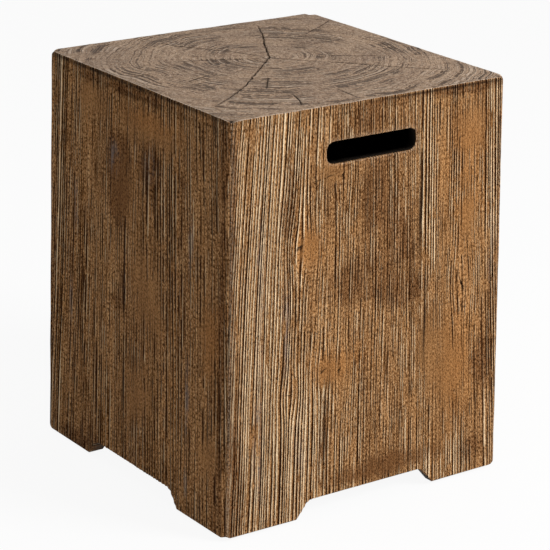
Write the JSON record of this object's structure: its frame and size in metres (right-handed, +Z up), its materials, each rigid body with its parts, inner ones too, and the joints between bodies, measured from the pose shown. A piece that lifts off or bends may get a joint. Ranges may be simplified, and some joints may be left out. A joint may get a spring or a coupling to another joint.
{
  "type": "propane tank cover table",
  "caption": "Square hollow cover table with a cast end-grain top, wood-grain walls, hand slots, notched feet and levelling glides, open below to stand over a gas cylinder.",
  "frame": {"origin": "on the floor under the middle of the cover, at the underside of the glide soles", "axes": "+Z up, -Y towards the front wall with its hand slot, +X to the right seen from the front; walls and notches are square to X and Y"},
  "size_m": [0.414, 0.414, 0.508],
  "materials": {
    "cast_wood_grain": "fibre cement cast in a wood-grain mould, stained brown, satin seal",
    "cast_end_grain": "fibre cement cast in an end-grain mould, stained grey-brown, satin seal",
    "mortar": "matt cement mortar stained to match",
    "insert_brass": "turned",
    "stud_steel": "zinc plated",
    "pad_nylon": "moulded, matt",
    "sole_rubber": "matt"
  },
  "bodies": {
    "cover": {"cast_walls": "cast_wood_grain", "top_slab": "cast_end_grain", "mortar_line": "mortar", "threaded_insert_front_left": "insert_brass", "threaded_insert_front_right": "insert_brass", "threaded_insert_back_right": "insert_brass", "threaded_insert_back_left": "insert_brass"},
    "pad_front_left": {"glide_pad_front_left": "pad_nylon", "glide_sole_front_left": "sole_rubber"},
    "stud_front_left": {"glide_stud_front_left": "stud_steel"},
    "pad_front_right": {"glide_pad_front_right": "pad_nylon", "glide_sole_front_right": "sole_rubber"},
    "stud_front_right": {"glide_stud_front_right": "stud_steel"},
    "pad_back_right": {"glide_pad_back_right": "pad_nylon", "glide_sole_back_right": "sole_rubber"},
    "stud_back_right": {"glide_stud_back_right": "stud_steel"},
    "pad_back_left": {"glide_pad_back_left": "pad_nylon", "glide_sole_back_left": "sole_rubber"},
    "stud_back_left": {"glide_stud_back_left": "stud_steel"}
  },
  "joints": [
    {"name": "glide_front_left_lift", "type": "slide", "parent": "cover", "child": "pad_front_left", "axis": [0, 0, -1], "range_m": [0, 0.008]},
    {"name": "glide_front_left_turn", "type": "hinge", "parent": "pad_front_left", "child": "stud_front_left", "pos_m": [-0.176, -0.176, 0.008], "axis": [0, 0, -1], "range_deg": [0, 2304]},
    {"name": "glide_front_right_lift", "type": "slide", "parent": "cover", "child": "pad_front_right", "axis": [0, 0, -1], "range_m": [0, 0.008]},
    {"name": "glide_front_right_turn", "type": "hinge", "parent": "pad_front_right", "child": "stud_front_right", "pos_m": [0.176, -0.176, 0.008], "axis": [0, 0, -1], "range_deg": [0, 2304]},
    {"name": "glide_back_right_lift", "type": "slide", "parent": "cover", "child": "pad_back_right", "axis": [0, 0, -1], "range_m": [0, 0.008]},
    {"name": "glide_back_right_turn", "type": "hinge", "parent": "pad_back_right", "child": "stud_back_right", "pos_m": [0.176, 0.176, 0.008], "axis": [0, 0, -1], "range_deg": [0, 2304]},
    {"name": "glide_back_left_lift", "type": "slide", "parent": "cover", "child": "pad_back_left", "axis": [0, 0, -1], "range_m": [0, 0.008]},
    {"name": "glide_back_left_turn", "type": "hinge", "parent": "pad_back_left", "child": "stud_back_left", "pos_m": [-0.176, 0.176, 0.008], "axis": [0, 0, -1], "range_deg": [0, 2304]}
  ],
  "couplings": [
    {"joint": "glide_front_left_turn", "follows": "glide_front_left_lift", "rad_per_m": 5026.5},
    {"joint": "glide_front_right_turn", "follows": "glide_front_right_lift", "rad_per_m": 5026.5},
    {"joint": "glide_back_right_turn", "follows": "glide_back_right_lift", "rad_per_m": 5026.5},
    {"joint": "glide_back_left_turn", "follows": "glide_back_left_lift", "rad_per_m": 5026.5}
  ]
}
